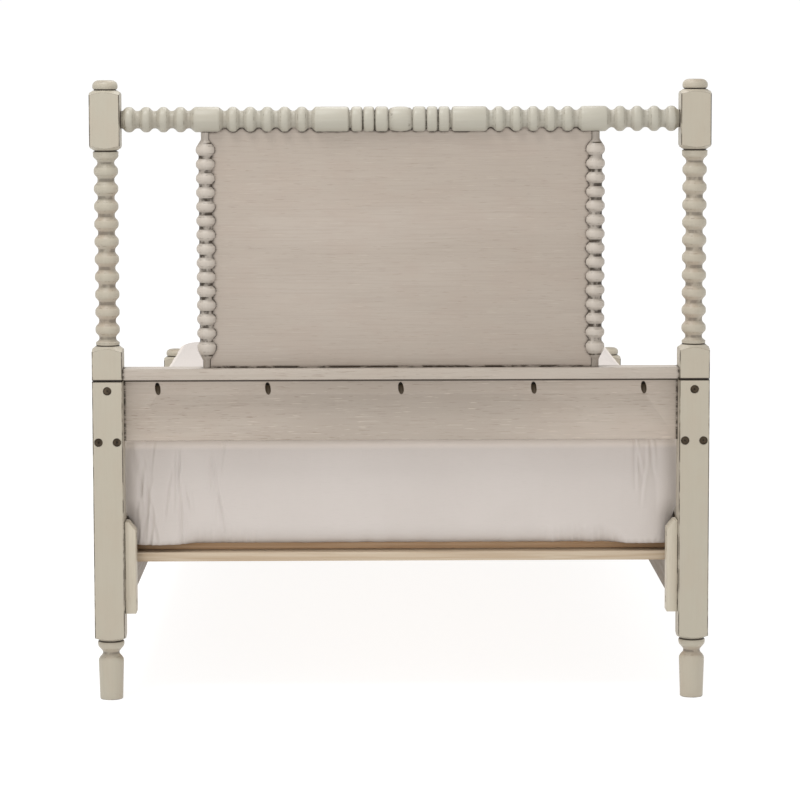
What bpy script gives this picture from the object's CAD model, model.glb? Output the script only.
import math
import random

import bpy
from mathutils import Matrix, Vector, noise


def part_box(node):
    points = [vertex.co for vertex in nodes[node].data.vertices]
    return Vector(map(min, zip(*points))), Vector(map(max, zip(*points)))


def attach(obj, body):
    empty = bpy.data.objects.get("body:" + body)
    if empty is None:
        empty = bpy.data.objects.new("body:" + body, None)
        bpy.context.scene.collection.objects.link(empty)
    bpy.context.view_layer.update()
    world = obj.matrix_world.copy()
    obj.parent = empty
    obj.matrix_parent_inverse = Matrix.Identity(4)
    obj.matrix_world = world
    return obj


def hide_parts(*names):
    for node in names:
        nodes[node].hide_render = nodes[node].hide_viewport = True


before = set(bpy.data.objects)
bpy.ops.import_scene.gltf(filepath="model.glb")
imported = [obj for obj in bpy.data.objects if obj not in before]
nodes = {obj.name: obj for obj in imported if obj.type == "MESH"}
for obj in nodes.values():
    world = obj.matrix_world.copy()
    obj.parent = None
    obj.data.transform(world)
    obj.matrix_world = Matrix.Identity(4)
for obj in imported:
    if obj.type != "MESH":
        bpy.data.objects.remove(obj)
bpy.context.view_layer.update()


# ---- Studio ----
# A long lens at the height of the headboard's top looks at its back. The floor is a lit white
# table in a white room, with soft panels behind the headboard, above it and over the foot end.

lens_data = bpy.data.cameras.new("long_lens")
lens_data.lens = 141.6
lens_data.sensor_width = 36.0
lens_data.shift_y = -0.05
camera = bpy.data.objects.new("camera", lens_data)
bpy.context.scene.collection.objects.link(camera)
camera_place = Vector((-0.0583, -6.5823, 1.1495))
look_at = Vector((-0.0020, -1.0125, 0.6132))
camera_roll = math.radians(-0.14)
aim = (look_at - camera_place).to_track_quat("-Z", "Y").to_matrix().to_4x4()
camera.matrix_world = Matrix.Translation(camera_place) @ aim @ Matrix.Rotation(camera_roll, 4, "Z")
bpy.context.scene.camera = camera

room = bpy.data.worlds.new("white_room")
room.use_nodes = True
room_light = room.node_tree.nodes["Background"]
towards = room.node_tree.nodes.new("ShaderNodeTexCoord").outputs["Generated"]
upward = room.node_tree.nodes.new("ShaderNodeSeparateXYZ")
room.node_tree.links.new(towards, upward.inputs["Vector"])
fade = room.node_tree.nodes.new("ShaderNodeMapRange")
fade.interpolation_type = "SMOOTHSTEP"
for socket, value in (("From Min", 0.16), ("From Max", 0.62), ("To Min", 1.02), ("To Max", 0.72)):
    fade.inputs[socket].default_value = value
room.node_tree.links.new(upward.outputs["Z"], fade.inputs["Value"])
room.node_tree.links.new(fade.outputs["Result"], room_light.inputs["Strength"])
room_light.inputs["Color"].default_value = (1.0, 1.0, 1.0, 1.0)
bpy.context.scene.world = room
bpy.context.scene.view_settings.view_transform = "Standard"


def soft_panel(name, place, target, size, watts):
    panel = bpy.data.lights.new(name, "AREA")
    panel.shape = "DISK"
    panel.size = size
    panel.energy = watts
    lamp = bpy.data.objects.new(name, panel)
    bpy.context.scene.collection.objects.link(lamp)
    turn = (Vector(target) - Vector(place)).to_track_quat("-Z", "Y").to_matrix().to_4x4()
    lamp.matrix_world = Matrix.Translation(Vector(place)) @ turn


soft_panel("front_panel", (-1.3, -6.4, 0.7), (0.0, -1.0, 0.5), 2.4, 34)
soft_panel("top_panel", (-0.9, -1.9, 3.6), (0.0, -0.95, 0.8), 1.4, 54)
soft_panel("foot_panel", (0.0, 0.1, 2.5), (0.0, 1.1, 0.3), 1.0, 20)

floor_mesh = bpy.data.meshes.new("floor")
floor_r = 40.0
floor_mesh.from_pydata(
    [(-floor_r, -floor_r, -0.0005), (floor_r, -floor_r, -0.0005),
     (floor_r, floor_r, -0.0005), (-floor_r, floor_r, -0.0005)], [], [(0, 1, 2, 3)])
floor = bpy.data.objects.new("floor", floor_mesh)
bpy.context.scene.collection.objects.link(floor)
floor_finish = bpy.data.materials.new("lit_white_floor")
floor_finish.use_nodes = True
floor_shader = floor_finish.node_tree.nodes["Principled BSDF"]
floor_shader.inputs["Base Color"].default_value = (0.28, 0.28, 0.28, 1.0)
floor_shader.inputs["Roughness"].default_value = 1.0
floor_shader.inputs["Specular IOR Level"].default_value = 0.0
floor_shader.inputs["Emission Color"].default_value = (1.0, 1.0, 1.0, 1.0)
floor_shader.inputs["Emission Strength"].default_value = 0.84
floor_mesh.materials.append(floor_finish)


# ---- Head posts ----
# Turned from square hardwood: a cap, a block that holds the rail, a run of beads and a second
# block. Sprayed antique white, then wiped with a dark glaze that stays in the waists, the
# grooves and the eased arrises.

class Recipe:
    """Builds one material: each call adds a step and gives back its result."""

    def __init__(self, name):
        self.material = bpy.data.materials.new(name)
        self.material.use_nodes = True
        self.tree = self.material.node_tree
        self.shader = self.tree.nodes["Principled BSDF"]
        self.spot = self.tree.nodes.new("ShaderNodeTexCoord").outputs["Object"]

    def put(self, socket, value):
        """Links a result to a socket, or sets a plain value on it."""
        if isinstance(value, bpy.types.NodeSocket):
            self.tree.links.new(value, socket)
        elif isinstance(value, tuple) and socket.type == "RGBA" and len(value) == 3:
            socket.default_value = (*value, 1.0)
        else:
            socket.default_value = value

    def add(self, kind, settings=None, result=0, **inputs):
        """Adds a shader node and gives back one of its results, by number or by name."""
        made = self.tree.nodes.new("ShaderNode" + kind)
        for key, value in (settings or {}).items():
            setattr(made, key, value)
        for key, value in inputs.items():
            self.put(made.inputs[key.replace("_", " ")], value)
        return made.outputs[result]

    def finish(self, **inputs):
        """Joins results to the shader and gives back the material."""
        for key, value in inputs.items():
            self.put(self.shader.inputs[key.replace("_", " ")], value)
        return self.material

    def sum(self, operation, a, b=0.0):
        made = self.tree.nodes.new("ShaderNodeMath")
        made.operation = operation
        self.put(made.inputs[0], a)
        self.put(made.inputs[1], b)
        return made.outputs[0]

    def vector(self, operation, a, b=(0.0, 0.0, 0.0), result=0):
        made = self.tree.nodes.new("ShaderNodeVectorMath")
        made.operation = operation
        self.put(made.inputs[0], a)
        self.put(made.inputs[1], b)
        return made.outputs[result]

    def part(self, vector, axis):
        """One of a vector's x, y and z."""
        return self.add("SeparateXYZ", None, axis.upper(), Vector=vector)

    def step(self, value, low, high, to_low=0.0, to_high=1.0):
        """A smooth change from to_low to to_high while the value goes from low to high."""
        return self.add("MapRange", {"interpolation_type": "SMOOTHSTEP"}, Value=value,
                        From_Min=low, From_Max=high, To_Min=to_low, To_Max=to_high)

    def mix(self, factor, a, b):
        made = self.tree.nodes.new("ShaderNodeMix")
        made.data_type = "RGBA"
        self.put(made.inputs[0], factor)
        self.put(made.inputs[6], a)
        self.put(made.inputs[7], b)
        return made.outputs[2]

    def fibres(self, along, across, grain, offset=0.0, detail=3.0, rough=0.55, warp=0.0):
        """Noise drawn out along the grain: so many per metre along it and across it."""
        scale = [across, across, across]
        scale["xyz".index(grain)] = along
        where = self.add("Mapping", None, Vector=self.spot, Location=(offset, offset, offset),
                         Scale=tuple(scale))
        return self.add("TexNoise", None, Vector=where, Scale=1.0, Detail=detail,
                        Roughness=rough, Distortion=warp)

    def most(self, masks):
        """The strongest of several masks at each spot."""
        all_of_them = masks[0]
        for mask in masks[1:]:
            all_of_them = self.sum("MAXIMUM", all_of_them, mask)
        return all_of_them


def toned(colour, share):
    """A colour made darker, or lighter with a share above one."""
    return tuple(c * share for c in colour)


def antique_paint(name, paint, shade, grain, open_grain=0.3, turned=None, wipe=0.5,
                  square=None, grooves=(), ends=None, dim_middle=0.0, bare=None, gloss=0.42,
                  clouds=0.2, reach=0.0060, thin_inside=None):
    """Antique paint over wood, brushed along the grain and wiped with dark glaze.

    open_grain: how strongly the pores show.
    turned: a turning's axis, the radius of its waists and the radius of its beads.
    wipe: how much glaze is left in the waists.
    square: a square post's axis.
    grooves: turned grooves and joint lines, each as its height and half its width.
    ends: how far out a rail enters its posts.
    dim_middle: how much duller the coat is half way along a board.
    bare: the back and bottom, then the front and top, of drilled walls that show wood.
    gloss: how strongly the topcoat reflects.
    clouds: how uneven the coat is.
    reach: how far the glaze comes out of a corner.
    thin_inside: how far out the thinly coated inner face of a side rail lies."""
    glaze_brown = (0.040, 0.027, 0.016)
    open_pore = (0.17, 0.125, 0.085)
    drilled_wood = (0.060, 0.040, 0.020)
    r = Recipe(name)
    broad = r.fibres(1.6, 9.0, grain, 0.0, 2.0)
    cloudy = r.fibres(14.0, 24.0, grain, 6.2, 3.0)
    brushed = r.fibres(7.0, 330.0, grain, 3.1, 4.0, 0.6)
    pores = r.fibres(34.0, 620.0, grain, 7.7, 2.0, 0.5)
    bright = r.fibres(26.0, 540.0, grain, 11.3, 2.0, 0.5)
    patchy = r.fibres(46.0, 60.0, grain, 1.9, 3.0)

    # The coat drifts in tone, clouds over in patches and shows its brush marks.
    tone = r.mix(r.step(broad, 0.36, 0.64), paint, shade)
    warm = (shade[0] * 0.97, shade[1] * 0.89, shade[2] * 0.86)
    tone = r.mix(r.step(cloudy, 0.40, 0.66, 0.0, clouds), tone, warm)
    if dim_middle:
        full_coat, dullest = 0.42, 0.08
        middle = r.step(r.part(r.vector("ABSOLUTE", r.spot), "x"), full_coat, dullest)
        tone = r.mix(r.sum("MULTIPLY", middle, dim_middle), tone, toned(shade, 0.80))
    tone = r.mix(r.step(brushed, 0.44, 0.68, 0.0, 0.25), tone, toned(shade, 0.80))

    # Pores stay open as short dark dashes, with a few bright ones where they filled.
    patches = r.step(broad, 0.34, 0.62, 0.35, 1.0)
    dashes = r.sum("MULTIPLY", r.step(pores, 0.625, 0.69), patches)
    tone = r.mix(r.sum("MULTIPLY", dashes, open_grain), tone, open_pore)
    tone = r.mix(r.step(bright, 0.64, 0.70, 0.0, open_grain * 0.8), tone,
                 toned(paint, 1.32))
    if thin_inside:
        outward = r.part(r.vector("ABSOLUTE", r.spot), "x")
        thin = r.step(outward, thin_inside + 0.0015, thin_inside + 0.0005, 0.0, 0.9)
        tone = r.mix(thin, tone, (shade[0] * 0.44, shade[1] * 0.40, shade[2] * 0.37))

    # Dark glaze stays in corners, waists, grooves and joints, and along eased arrises.
    worn = r.fibres(30.0, 90.0, grain, 5.3, 4.0, 0.7)
    near_r, clear, shut = (0.0045, 0.58, 0.42) if turned else (reach, 0.93, 0.77)
    nearness = r.add("AmbientOcclusion", {"samples": 8}, "AO", Distance=near_r)
    line = r.step(nearness, clear, shut)
    glaze = [r.sum("MULTIPLY", line, r.step(worn, 0.40, 0.54, 0.30, 1.0))]
    if turned:
        axis, waist, bead = turned
        keep = tuple(0.0 if k == "xyz".index(grain) else 1.0 for k in range(3))
        from_axis = r.vector("SUBTRACT", r.vector("ABSOLUTE", r.spot), axis)
        radius = r.vector("LENGTH", r.vector("MULTIPLY", from_axis, keep), result=1)
        no_neck = r.step(radius, waist - 0.0016, waist - 0.0008)
        soft_waist = r.step(radius, waist + 0.0024, waist, 0.0, wipe * 0.26)
        thin_waist = r.step(radius, waist + 0.0005, waist + 0.0001, 0.0, wipe)
        flank = r.sum("ABSOLUTE", r.sum("SUBTRACT", radius, 0.4 * waist + 0.6 * bead))
        thin_flank = r.step(flank, 0.0007, 0.0002, 0.0, 0.45)
        left_on = r.sum("MULTIPLY", r.step(patchy, 0.34, 0.58), no_neck)
        glaze.append(r.sum("MULTIPLY", soft_waist, r.step(cloudy, 0.30, 0.60, 0.2, 1.0)))
        glaze.append(r.sum("MULTIPLY", thin_waist, left_on))
        glaze.append(r.sum("MULTIPLY", thin_flank, r.step(worn, 0.50, 0.62)))
        rubbed = r.step(radius, bead - 0.0028, bead - 0.0003, 0.0, 0.6)
        tone = r.mix(rubbed, tone, toned(paint, 1.10))
    if square:
        off = r.vector("ABSOLUTE", r.vector("SUBTRACT", r.vector("ABSOLUTE", r.spot), square))
        both = r.sum("ADD", r.part(off, "x"), r.part(off, "y"))
        corner = r.step(both, post_w - 0.0021, post_w - 0.0014)
        glaze.append(r.sum("MULTIPLY", corner, r.step(worn, 0.36, 0.54, 0.15, 0.85)))
    height = r.part(r.spot, "z")
    for level, half in grooves:
        away = r.sum("ABSOLUTE", r.sum("SUBTRACT", height, level))
        glaze.append(r.step(away, half + 0.0007, half - 0.0003, 0.0, 0.96))
    if ends:
        sideways = r.part(r.vector("ABSOLUTE", r.spot), "x")
        glaze.append(r.step(sideways, ends - 0.0030, ends - 0.0012, 0.0, 0.95))
    eased = r.add("Bevel", {"samples": 4}, Radius=0.0014)
    facing = r.add("NewGeometry", None, "Normal")
    turn = r.vector("DOT_PRODUCT", eased, facing, result=1)
    glaze.append(r.sum("MULTIPLY", r.step(turn, 0.990, 0.88), r.step(worn, 0.36, 0.55, 0.1, 0.8)))
    tone = r.mix(r.most(glaze), tone, glaze_brown)
    if bare:
        (back, bottom), (front, top) = bare
        depth = r.part(r.spot, "y")
        inside = r.sum("MULTIPLY", r.step(height, bottom, bottom + 0.001),
                       r.step(height, top, top - 0.001))
        inside = r.sum("MULTIPLY", inside, r.step(depth, back, back + 0.0004))
        inside = r.sum("MULTIPLY", inside, r.step(depth, front, front - 0.0004))
        tone = r.mix(inside, tone, drilled_wood)

    # Brush marks stand up from the surface and pores are sunk in it.
    relief = r.sum("SUBTRACT", r.sum("MULTIPLY", brushed, 0.35), r.sum("MULTIPLY", dashes, 0.5))
    bump = r.add("Bump", None, Strength=0.35, Distance=0.0005, Height=relief, Normal=eased)
    r.shader.inputs["Specular IOR Level"].default_value = gloss
    return r.finish(Base_Color=tone, Roughness=r.step(brushed, 0.3, 0.7, 0.38, 0.52),
                    Normal=bump)


def shade_round(piece, angle=34.0):
    """Joins a piece's facets and shades it smooth up to its real edges."""
    if "shade_round" not in bpy.data.node_groups:
        steps = bpy.data.node_groups.new("shade_round", "GeometryNodeTree")
        steps.interface.new_socket("Geometry", in_out="INPUT", socket_type="NodeSocketGeometry")
        steps.interface.new_socket("Angle", in_out="INPUT", socket_type="NodeSocketFloat")
        steps.interface.new_socket("Geometry", in_out="OUTPUT", socket_type="NodeSocketGeometry")
        given = steps.nodes.new("NodeGroupInput")
        result = steps.nodes.new("NodeGroupOutput")
        bare = steps.nodes.new("GeometryNodeRemoveAttribute")
        bare.inputs["Name"].default_value = "custom_normal"
        weld = steps.nodes.new("GeometryNodeMergeByDistance")
        weld.inputs["Distance"].default_value = 0.00001
        faces = steps.nodes.new("GeometryNodeSetShadeSmooth")
        edges = steps.nodes.new("GeometryNodeSetShadeSmooth")
        edges.domain = "EDGE"
        fold = steps.nodes.new("GeometryNodeInputMeshEdgeAngle")
        soft = steps.nodes.new("FunctionNodeCompare")
        soft.operation = "LESS_THAN"
        steps.links.new(given.outputs["Geometry"], bare.inputs["Geometry"])
        steps.links.new(bare.outputs["Geometry"], weld.inputs["Geometry"])
        steps.links.new(weld.outputs["Geometry"], faces.inputs["Geometry"])
        steps.links.new(faces.outputs["Geometry"], edges.inputs["Geometry"])
        steps.links.new(fold.outputs["Unsigned Angle"], soft.inputs[0])
        steps.links.new(given.outputs["Angle"], soft.inputs[1])
        steps.links.new(soft.outputs["Result"], edges.inputs["Shade Smooth"])
        steps.links.new(edges.outputs["Geometry"], result.inputs["Geometry"])
    rounding = piece.modifiers.new("shade_round", "NODES")
    rounding.node_group = bpy.data.node_groups["shade_round"]
    sharpest = rounding.node_group.interface.items_tree["Angle"].identifier
    rounding[sharpest] = math.radians(angle)


def finish_with(names, material):
    """Gives CAD pieces their finish and smooth shading."""
    for name in names:
        for slot in nodes[name].material_slots:
            slot.material = material
        shade_round(nodes[name])


post_low, post_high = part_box("head_post_right")
post_w = post_high.x - post_low.x
post_axis = (post_high.x - post_w / 2, -(post_low.y + post_high.y) / 2, 0.0)
post_waist_r = 0.0150
post_bead_r = 0.02175
post_white = (0.388, 0.354, 0.282)
post_shade = (0.392, 0.340, 0.266)
foot_groove = (0.1062, 0.0012)
leg_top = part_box("head_leg_left")[1].z
joint_line = (leg_top + 0.0010, 0.0023)
bead_run_grooves = [(0.6388, 0.0009), (0.9850, 0.0011)]
head_cap_groove = (post_high.z - 0.0170, 0.0010)
head_paint = antique_paint("head_post_paint", post_white, post_shade, "z", 0.10,
                           turned=(post_axis, post_waist_r, post_bead_r), square=post_axis,
                           clouds=0.6, grooves=[foot_groove, joint_line, *bead_run_grooves,
                                                head_cap_groove])
finish_with(["head_post_left", "head_post_right"], head_paint)


# ---- Legs ----
# The lower half of each head post is a separate square leg with a turned foot, lapped behind
# the post's tongue. Same timber and paint as the post.

finish_with(["head_leg_left", "head_leg_right"], head_paint)


# ---- Leg bolts and inserts ----
# Flat-headed hex-socket furniture bolts in dark bronze plate, sunk in counterbores, which
# screw into brass inserts in the tongue.

def plated(name, colour, rough, wear=0.12):
    """Plated metal, dulled by grime that is thickest in its recesses."""
    r = Recipe(name)
    grime = r.fibres(90.0, 90.0, "x", 0.0, 4.0)
    tone = r.mix(r.step(grime, 0.35, 0.7), colour, toned(colour, 0.6))
    nearness = r.add("AmbientOcclusion", {"samples": 6}, "AO", Distance=0.003)
    tone = r.mix(r.step(nearness, 0.8, 0.35, 0.0, 0.8), tone, (0.012, 0.009, 0.007))
    r.shader.inputs["Metallic"].default_value = 0.85
    return r.finish(Base_Color=tone, Roughness=r.step(grime, 0.3, 0.7, rough - wear, rough + wear))


finish_with(["head_leg_bolts_left", "head_leg_bolts_right"],
            plated("bronze_plate", (0.070, 0.052, 0.034), 0.40))
finish_with(["head_leg_inserts"], plated("insert_brass", (0.62, 0.45, 0.20), 0.3))


# ---- Headboard top rail ----
# One length of spool turning between the posts: rings round a middle barrel, then beads and
# barrels to each end. Its paint is a little whiter, and glaze sits in every groove.

def rail_paint(name, rail):
    """Antique paint for a spool-turned rail, glazed in its waists and where it meets its posts."""
    low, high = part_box(rail)
    axis = (0.0, post_axis[1], (low.z + high.z) / 2)
    return antique_paint(name, rail_white, rail_shade, "x", 0.12,
                         turned=(axis, rail_waist_r, rail_bead_r), wipe=0.22, ends=rail_end)


rail_white = (0.386, 0.364, 0.304)
rail_shade = (0.352, 0.322, 0.260)
rail_waist_r = 0.0168
rail_bead_r = 0.0225
rail_end = post_axis[0] - post_w / 2
finish_with(["headboard_top_rail"], rail_paint("head_rail_paint", "headboard_top_rail"))


# ---- Headboard spindles ----
# Two thin spool turnings that frame the panel, grooved for its edges and tenoned into the
# cap rail and the top rail.

spindle_waist_r = 0.0126
spindle_bead_r = 0.0175
spindle_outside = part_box("headboard_spindle_right")[1].x
spindle_axis = (spindle_outside - spindle_bead_r, post_axis[1], 0.0)
spindle_white = (0.440, 0.392, 0.340)
spindle_shade = (0.372, 0.325, 0.275)
finish_with(["headboard_spindle_left", "headboard_spindle_right"],
            antique_paint("spindle_paint", spindle_white, spindle_shade, "z", 0.14,
                          turned=(spindle_axis, spindle_waist_r, spindle_bead_r), wipe=1.0))


# ---- Headboard panel, cap rail and lower board ----
# A flat veneered panel in grooves, a flat cap rail under it, and a wide board pocket-screwed up
# into the rail. Greige paint brushed out along the grain, with open pores showing.

def ease_edges(board, width=0.0012):
    """Takes the sharp arrises off a flat board, as sandpaper does."""
    weld = board.modifiers.new("weld", "WELD")
    weld.merge_threshold = 0.00001
    clean = board.modifiers.new("clean", "DECIMATE")
    clean.decimate_type = "DISSOLVE"
    clean.angle_limit = math.radians(0.3)
    ease = board.modifiers.new("ease", "BEVEL")
    ease.width = width
    ease.segments = 3
    ease.limit_method = "ANGLE"
    ease.angle_limit = math.radians(40.0)
    ease.use_clamp_overlap = False


ease_edges(nodes["headboard_panel"])
ease_edges(nodes["headboard_cap_rail"])
panel_greige = (0.398, 0.340, 0.288)
panel_shade = (0.372, 0.316, 0.264)
finish_with(["headboard_panel"],
            antique_paint("panel_paint", panel_greige, panel_shade, "x", 0.30))
cap_rail_greige = (0.438, 0.382, 0.325)
cap_rail_shade = (0.402, 0.347, 0.292)
cap_rail_paint = antique_paint("cap_rail_paint", cap_rail_greige, cap_rail_shade, "x", 0.34)
finish_with(["headboard_cap_rail"], cap_rail_paint)
board_low, board_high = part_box("headboard_lower_board")
board_greige = (0.452, 0.388, 0.328)
board_shade = (0.412, 0.350, 0.291)
under_cap_rail = (board_high.z - 0.0018, 0.0036)
pocket_walls = ((board_low.y + 0.0002, board_high.z - 0.040),
                (board_high.y - 0.0007, board_high.z - 0.0004))
finish_with(["headboard_lower_board"],
            antique_paint("lower_board_paint", board_greige, board_shade, "x", 0.60,
                          grooves=[under_cap_rail], dim_middle=0.60, bare=pocket_walls))


# ---- Pocket screws ----
# Black phosphated screws at the bottom of slanted pocket holes, which hold a board up to its
# cap rail, at the head and at the foot.

finish_with(["headboard_pocket_screws", "footboard_pocket_screws"],
            plated("black_phosphate", (0.030, 0.026, 0.022), 0.6))


# ---- Foot posts and footboard ----
# Low square posts with the same feet and caps, a spool rail between them, and a flat cap rail
# and board below it.

foot_cap_groove = (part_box("foot_post_left")[1].z - 0.0170, 0.0010)
foot_post_paint = antique_paint("foot_post_paint", post_white, post_shade, "z", 0.10,
                                turned=(post_axis, post_waist_r, post_bead_r),
                                square=post_axis, clouds=0.6,
                                grooves=[foot_groove, foot_cap_groove])
finish_with(["foot_post_left", "foot_post_right"], foot_post_paint)
finish_with(["footboard_top_rail"], rail_paint("foot_rail_paint", "footboard_top_rail"))
ease_edges(nodes["footboard_cap_rail"])
finish_with(["footboard_cap_rail"], cap_rail_paint)
finish_with(["footboard_board"],
            antique_paint("foot_board_paint", board_greige, board_shade, "x", 0.60))


# ---- Side rails and cleats ----
# Plain boards hooked between the legs, and a bevelled block bolted inside each leg. They are
# painted like the legs, but thinly on the side rails' inner faces.

cleats = ["head_cleat_left", "head_cleat_right", "foot_cleat_left", "foot_cleat_right"]
for name in ["side_rail_left", "side_rail_right", *cleats]:
    ease_edges(nodes[name])
side_rail_inner_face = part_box("side_rail_right")[0].x
finish_with(["side_rail_left", "side_rail_right"],
            antique_paint("side_rail_paint", post_white, post_shade, "y", 0.24, gloss=0.2,
                          thin_inside=side_rail_inner_face))
cleat_white = (0.530, 0.480, 0.385)
cleat_shade = (0.490, 0.440, 0.348)
finish_with(cleats, antique_paint("cleat_paint", cleat_white, cleat_shade, "z", 0.16, reach=0.0022))
zinc_plate = plated("zinc_plate", (0.52, 0.52, 0.50), 0.36)
finish_with(["cleat_bolts", "rail_hook_plates", "post_slot_plates"], zinc_plate)


# ---- Slat base ----
# Unfinished planed pine: two ledgers on the side rails, a batten across each end and thirteen
# slats screwed on top, with steel angles in the corners.

def planed_pine(name, grain, light=(0.500, 0.405, 0.295), dark=(0.34, 0.225, 0.130)):
    """Bare pine with growth rings, fine fibre and a few knots."""
    r = Recipe(name)
    rings = r.fibres(1.4, 46.0, grain, 0.0, 2.5, 0.45, 0.6)
    fibre = r.fibres(9.0, 520.0, grain, 2.7)
    band = r.step(r.sum("PINGPONG", r.sum("MULTIPLY", rings, 6.0), 0.5), 0.12, 0.48)
    tone = r.mix(band, light, tuple(0.62 * a + 0.38 * b for a, b in zip(light, dark)))
    tone = r.mix(r.step(fibre, 0.45, 0.75, 0.0, 0.35), tone, dark)
    knots = r.fibres(9.0, 46.0, grain, 8.3, 1.0)
    tone = r.mix(r.step(knots, 0.745, 0.775, 0.0, 0.9), tone, (0.10, 0.055, 0.028))
    bump = r.add("Bump", None, Strength=0.25, Distance=0.0005, Height=fibre)
    return r.finish(Base_Color=tone, Roughness=r.step(fibre, 0.3, 0.7, 0.52, 0.68), Normal=bump)


slats = sorted(n for n in nodes if n.startswith("slat_") and n[5:].isdigit())
battens = ["head_end_batten", "foot_end_batten"]
for name in ["ledger_left", "ledger_right", *battens, *slats]:
    ease_edges(nodes[name], 0.0006)
finish_with(["ledger_left", "ledger_right"], planed_pine("ledger_pine", "y"))
finish_with(battens, planed_pine("batten_pine", "x"))
finish_with(slats, planed_pine("slat_pine", "x", (0.60, 0.40, 0.235), (0.40, 0.215, 0.095)))
finish_with(["base_corner_brackets", "ledger_screws", "slat_screws"], zinc_plate)


# ---- Mattress ----
# A plain sprung mattress in woven ticking, with a taped top edge and a rolled lower edge. It
# lies loose on the slats, and its sheet leaves only the middle of its underside bare.

def outline(half_w, half_l, corner, inset, fine, coarse):
    """Points round a rounded rectangle, anticlockwise, each with its outward direction.

    fine and coarse: how far apart they stand near the corners and in the middle of a side.
    An outline with an inset has as many points as one without, so a skin can join them."""
    arc_steps = max(6, round(corner * math.pi / 2 / fine))
    centres = [(1, -1, -90.0), (1, 1, 0.0), (-1, 1, 90.0), (-1, -1, 180.0)]
    least_r = 0.003
    radius = max(corner - inset, least_r)
    drawn_in = max(inset - corner + least_r, 0.0)
    narrow = max(half_w - corner - drawn_in, 0.001) / (half_w - corner)
    shorten = max(half_l - corner - drawn_in, 0.001) / (half_l - corner)
    places = []
    for k, (sx, sy, start) in enumerate(centres):
        here = Vector((sx * (half_w - corner), sy * (half_l - corner), 0.0))
        for i in range(arc_steps + 1):
            a = math.radians(start + 90.0 * i / arc_steps)
            places.append((here, Vector((math.cos(a), math.sin(a), 0.0))))
        nx, ny, _ = centres[(k + 1) % 4]
        there = Vector((nx * (half_w - corner), ny * (half_l - corner), 0.0))
        run = (there - here).length
        near_corner = min(0.2, run * 0.4)
        stops = [i * fine for i in range(1, int(near_corner / fine) + 1)]
        left = run - 2 * stops[-1]
        middle = max(2, round(left / coarse))
        stops = [*stops, *[stops[-1] + left * i / middle for i in range(1, middle)],
                 *[run - s for s in reversed(stops)]]
        a = math.radians(start + 90.0)
        for s in stops:
            places.append((here.lerp(there, s / run), Vector((math.cos(a), math.sin(a), 0.0))))
    points = []
    for place, out in places:
        moved_in = Vector((place.x * narrow, place.y * shorten, 0.0))
        points.append((moved_in + out * radius, out))
    return points


def skin(name, rings, close_ends=(False, False)):
    """A smooth mesh of quads between rings of points that have equal counts."""
    count = len(rings[0])
    faces = []
    for j in range(len(rings) - 1):
        for i in range(count):
            a = j * count
            k = (i + 1) % count
            faces.append((a + i, a + k, a + count + k, a + count + i))
    if close_ends[0]:
        faces.append(tuple(reversed(range(count))))
    if close_ends[1]:
        faces.append(tuple(range((len(rings) - 1) * count, len(rings) * count)))
    mesh = bpy.data.meshes.new(name)
    mesh.from_pydata([p for ring in rings for p in ring], [], faces)
    mesh.validate()
    for face in mesh.polygons:
        face.use_smooth = True
    made = bpy.data.objects.new(name, mesh)
    bpy.context.scene.collection.objects.link(made)
    return made


def ticking(name):
    """Knitted cotton cover with slanting woven rows."""
    r = Recipe(name)
    rows = r.add("TexWave", {"wave_type": "BANDS", "bands_direction": "DIAGONAL"},
                 Vector=r.spot, Scale=22.0, Distortion=0.6)
    knit = r.add("TexVoronoi", {"feature": "F1"}, Vector=r.spot, Scale=420.0)
    tone = r.mix(r.step(rows, 0.35, 0.65), (0.60, 0.585, 0.545), (0.55, 0.53, 0.49))
    height = r.sum("ADD", rows, r.sum("MULTIPLY", knit, 0.2))
    bump = r.add("Bump", None, Strength=0.5, Distance=0.0015, Height=height)
    r.shader.inputs["Specular IOR Level"].default_value = 0.2
    return r.finish(Base_Color=tone, Roughness=0.9, Normal=bump)


low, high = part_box("mattress")
core_mid = Vector(((high.x + low.x) / 2, (high.y + low.y) / 2, low.z))
core_slack = 0.0035
core_w = (high.x - low.x) / 2 - core_slack
core_l = (high.y - low.y) / 2 - core_slack
core_h = high.z - low.z - core_slack
core_corner = 0.050
low_edge_r = 0.042
top_edge_r = 0.020
side_inset = 0.0045
side_swell = 0.003
tape_low = core_h - 0.022
underside = [(0.20, 0.0), (0.08, 0.0)]
rolled_edge = []
for a in range(0, 91, 15):
    rolled_edge.append((low_edge_r * (1 - math.sin(math.radians(a))) + 0.002,
                        low_edge_r * (1 - math.cos(math.radians(a)))))
side = []
for k in range(1, 6):
    side.append((side_inset - side_swell * math.sin(math.pi * k / 6),
                 low_edge_r + (tape_low - low_edge_r) * k / 6))
tape = [(side_inset, tape_low), (0.004, core_h - 0.017), (0.0, core_h - 0.0135),
        (0.004, core_h - 0.010)]
top_edge = []
for a in range(60, 91, 15):
    top_edge.append((top_edge_r * (1 - math.cos(math.radians(a))),
                     core_h - top_edge_r * (1 - math.sin(math.radians(a)))))
top = [(0.06, core_h), (0.20, core_h)]
core_rings = []
for inset, z in [*underside, *rolled_edge, *side, *tape, *top_edge, *top]:
    ring = outline(core_w, core_l, core_corner, inset, 0.010, 0.03)
    core_rings.append([p + core_mid + Vector((0.0, 0.0, z)) for p, out in ring])
core = skin("mattress_core", core_rings, (True, True))
core.data.materials.append(ticking("ticking"))
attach(core, "mattress_set")
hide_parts("mattress")


# ---- Fitted sheet ----
# Off-white cotton percale pulled over the mattress and gathered under it by an elastic hem.
# It is taut in the middle of each side and falls in upright creases near the corners.

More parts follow.
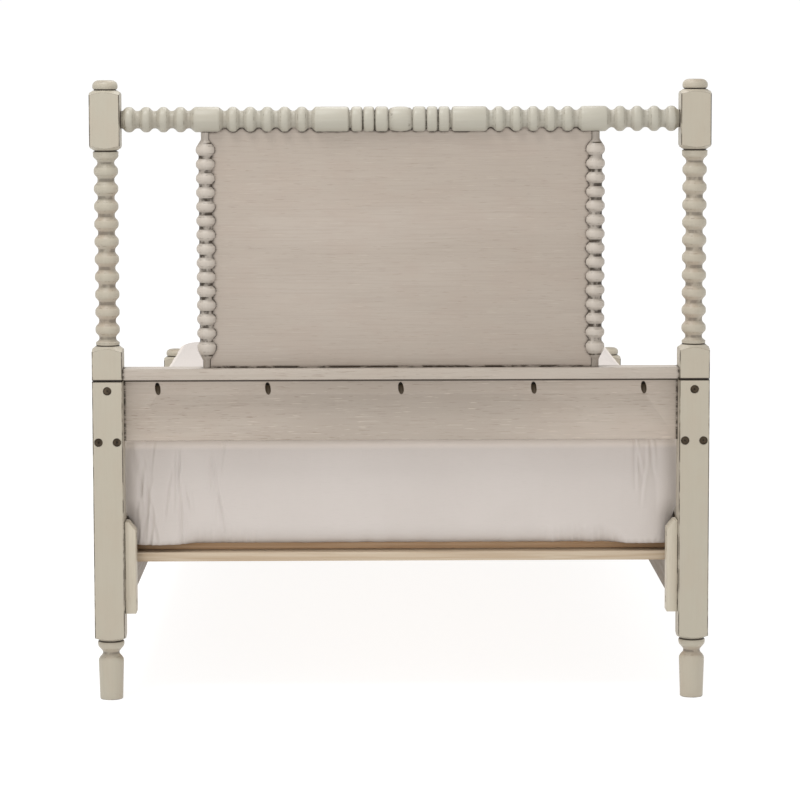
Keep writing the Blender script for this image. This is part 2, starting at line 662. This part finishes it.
def percale(name):
    """Plain woven cotton, a little crumpled, and paler along its upper edge."""
    r = Recipe(name)
    warp = r.add("TexWave", {"wave_type": "BANDS", "bands_direction": "X"},
                 Vector=r.spot, Scale=520.0, Distortion=0.4)
    weft = r.add("TexWave", {"wave_type": "BANDS", "bands_direction": "Z"},
                 Vector=r.spot, Scale=520.0, Distortion=0.4)
    slubs = r.fibres(60.0, 900.0, "x", 0.0, 2.0)
    mottle = r.fibres(5.0, 5.0, "x")
    crumple = r.fibres(9.0, 60.0, "z", 4.4, 4.0, 0.55, 0.3)
    tone = r.mix(r.step(mottle, 0.3, 0.7), (0.560, 0.510, 0.475), (0.537, 0.487, 0.452))
    height = r.part(r.spot, "z")
    rim = r.sum("MULTIPLY", r.step(height, 0.444, 0.455, 0.0, 0.85),
                r.step(height, 0.468, 0.464))
    tone = r.mix(rim, tone, (0.70, 0.63, 0.57))
    tone = r.mix(r.step(slubs, 0.5, 0.75, 0.0, 0.10), tone, (0.38, 0.345, 0.315))
    weave = r.sum("ADD", warp, weft)
    height = r.sum("ADD", r.sum("MULTIPLY", weave, 0.05), crumple)
    bump = r.add("Bump", None, Strength=0.3, Distance=0.0022, Height=height)
    r.shader.inputs["Sheen Weight"].default_value = 0.15
    r.shader.inputs["Sheen Roughness"].default_value = 0.6
    r.shader.inputs["Specular IOR Level"].default_value = 0.12
    return r.finish(Base_Color=tone, Roughness=0.95, Normal=bump)


sheet_low, sheet_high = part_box("fitted_sheet")
sheet_h = sheet_high.z - sheet_low.z
sheet_w = (sheet_high.x - sheet_low.x) / 2
sheet_l = (sheet_high.y - sheet_low.y) / 2
sheet_corner = 0.034
shoulder = 0.022
hem_inset = 0.080
most_swell = 0.0145
side_rail_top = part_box("side_rail_right")[1].z
fold_places = random.Random(11)
creases = []


def add_crease(axis, end, at, widest):
    """Notes one upright fold: its side, its place along it, its lean, height, depth and width."""
    low = fold_places.uniform(-0.25, 0.60)
    creases.append({
        "axis": axis, "end": end, "at": at,
        "lean": fold_places.uniform(-0.035, 0.035),
        "low": low,
        "high": low + fold_places.uniform(0.28, 0.75),
        "deep": fold_places.uniform(0.0008, 0.0030),
        "wide": fold_places.uniform(0.0017, widest)})


for end in (-1, 1):
    for side, count, reach in ((-1, 26, 0.150), (1, 4, 0.060)):
        for _ in range(count):
            spread = fold_places.random() ** 1.2
            add_crease("x", end, side * (sheet_w - 0.018 - spread * reach), 0.0036)
for side in (-1, 1):
    for end in (-1, 1):
        for _ in range(22):
            spread = fold_places.random() ** 1.3
            add_crease("y", side, end * (sheet_l - 0.030 - spread * 0.26), 0.0046)


def crease_depth(p, up):
    """How far the cloth stands out at a point, up being 0 at its lower edge and 1 at its top."""
    at_end = abs(p.y) - sheet_l > abs(p.x) - sheet_w
    depth = noise.noise(Vector((p.x * 6.0, p.y * 6.0, up * 1.8 + 1.0))) * 0.0016
    depth += noise.noise(Vector((p.x * 24.0, p.y * 24.0, up * 3.0))) * 0.0007
    for fold in creases:
        if (fold["axis"] == "x") != at_end:
            continue
        place, across = (p.x, p.y) if at_end else (p.y, p.x)
        if across * fold["end"] < 0:
            continue
        wander = noise.noise(Vector((fold["at"] * 90.0, up * 5.0, 2.0))) * 0.003
        off = (place - fold["at"] - fold["lean"] * (up - 0.5) - wander) / fold["wide"]
        if abs(off) > 4.0:
            continue
        along = (up - fold["low"]) / (fold["high"] - fold["low"])
        if along <= 0.0 or along >= 1.0:
            continue
        fades = math.sin(math.pi * along) ** 0.6
        ridge = 0.8 * math.exp(-((off - 1.3) ** 2))
        valley = math.exp(-off * off)
        depth += fold["deep"] * fades * (ridge - valley)
    return depth


def swell(p, z):
    """How far the long sides push out: over the side rails, and not between them lower down."""
    over_rails = min(max((z - side_rail_top - 0.002) / 0.030, 0.0), 1.0)
    below_top = min(max((sheet_high.z - z) / 0.010, 0.0), 1.0)
    on_long_side = max(0.0, (abs(p.x) - sheet_w + sheet_corner) / sheet_corner)
    return most_swell * on_long_side * over_rails * below_top ** 0.5


def hem_radius(p):
    """The lower edge's rounding: large in the middle of an end, small where elastic pulls it."""
    along = abs(p.x) / sheet_w if abs(p.y) > sheet_l - 0.06 else abs(p.y) / sheet_l
    puckers = noise.noise(Vector((p.x * 42.0, p.y * 42.0, 9.0))) * 0.0055
    scallop = abs(math.sin((p.x + p.y) * 260.0)) * 0.0025
    pulled = min(max((along - 0.74) / 0.10, 0.0), 1.0)
    smoothly = pulled * pulled * (3 - 2 * pulled)
    return max(0.004, 0.036 - 0.026 * smoothly + puckers + scallop)


# Rings of points run from under the hem, round its turn, up the side and over the shoulder,
# then inwards to a narrow strip along the middle of the top.
hem_rows = 8
wall_rows = 34
top_rows = 26
mesh_fine = 0.0021
mesh_coarse = 0.010
plain_w = sheet_w - 0.001
plain_l = sheet_l - 0.001
strip_half_w = 0.010
rows = [("hem", k / hem_rows) for k in range(hem_rows)]
rows += [("turn", a / 90.0) for a in range(0, 90, 15)]
rows += [("wall", k / wall_rows) for k in range(wall_rows)]
rows += [("shoulder", a / 90.0) for a in range(0, 90, 10)]
rows += [("top", (k / top_rows) ** 1.3) for k in range(top_rows + 1)]
outer = outline(plain_w, plain_l, sheet_corner, 0.0, mesh_fine, mesh_coarse)
sheet_rings = []
for kind, t in rows:
    if kind == "top":
        inset = shoulder + (sheet_w - shoulder - strip_half_w) * t
        ring = []
        for p, out in outline(plain_w, plain_l, sheet_corner, inset, mesh_fine, mesh_coarse):
            ripple = noise.noise(Vector((p.x * 5.0, p.y * 4.0, 0.3))) * 0.0026
            ripple += noise.noise(Vector((p.x * 19.0, p.y * 13.0, 5.3))) * 0.0009
            fade = min(1.0, 0.25 + (inset - shoulder) / 0.05)
            ring.append(p + Vector((0.0, 0.0, sheet_high.z + ripple * fade - 0.0012)))
        sheet_rings.append(ring)
        continue
    ring = []
    for p, out in outer:
        hem_r = hem_radius(p)
        inset = 0.0
        if kind == "hem":
            z = sheet_low.z
            inset = hem_inset + (hem_r - hem_inset) * t
        elif kind == "turn":
            a = math.radians(90.0 * t)
            z = sheet_low.z + hem_r * (1 - math.cos(a))
            inset = hem_r * (1 - math.sin(a))
        elif kind == "wall":
            z = sheet_low.z + hem_r + (sheet_h - hem_r - shoulder) * t
        else:
            a = math.radians(90.0 * t)
            z = sheet_high.z - shoulder * (1 - math.sin(a))
            inset = shoulder * (1 - math.cos(a))
        up = (z - sheet_low.z) / sheet_h
        on_cloth = p - out * inset + Vector((0.0, 0.0, z))
        if kind != "hem":
            on_cloth += out * (crease_depth(p, up) + swell(p, z))
        ring.append(on_cloth)
    sheet_rings.append(ring)
sheet = skin("fitted_sheet_cloth", sheet_rings, (False, True))
sheet.data.materials.append(percale("percale"))
cloth = sheet.modifiers.new("cloth_thickness", "SOLIDIFY")
cloth.thickness = 0.0008
cloth.offset = -1.0
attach(sheet, "mattress_set")
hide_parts("fitted_sheet")
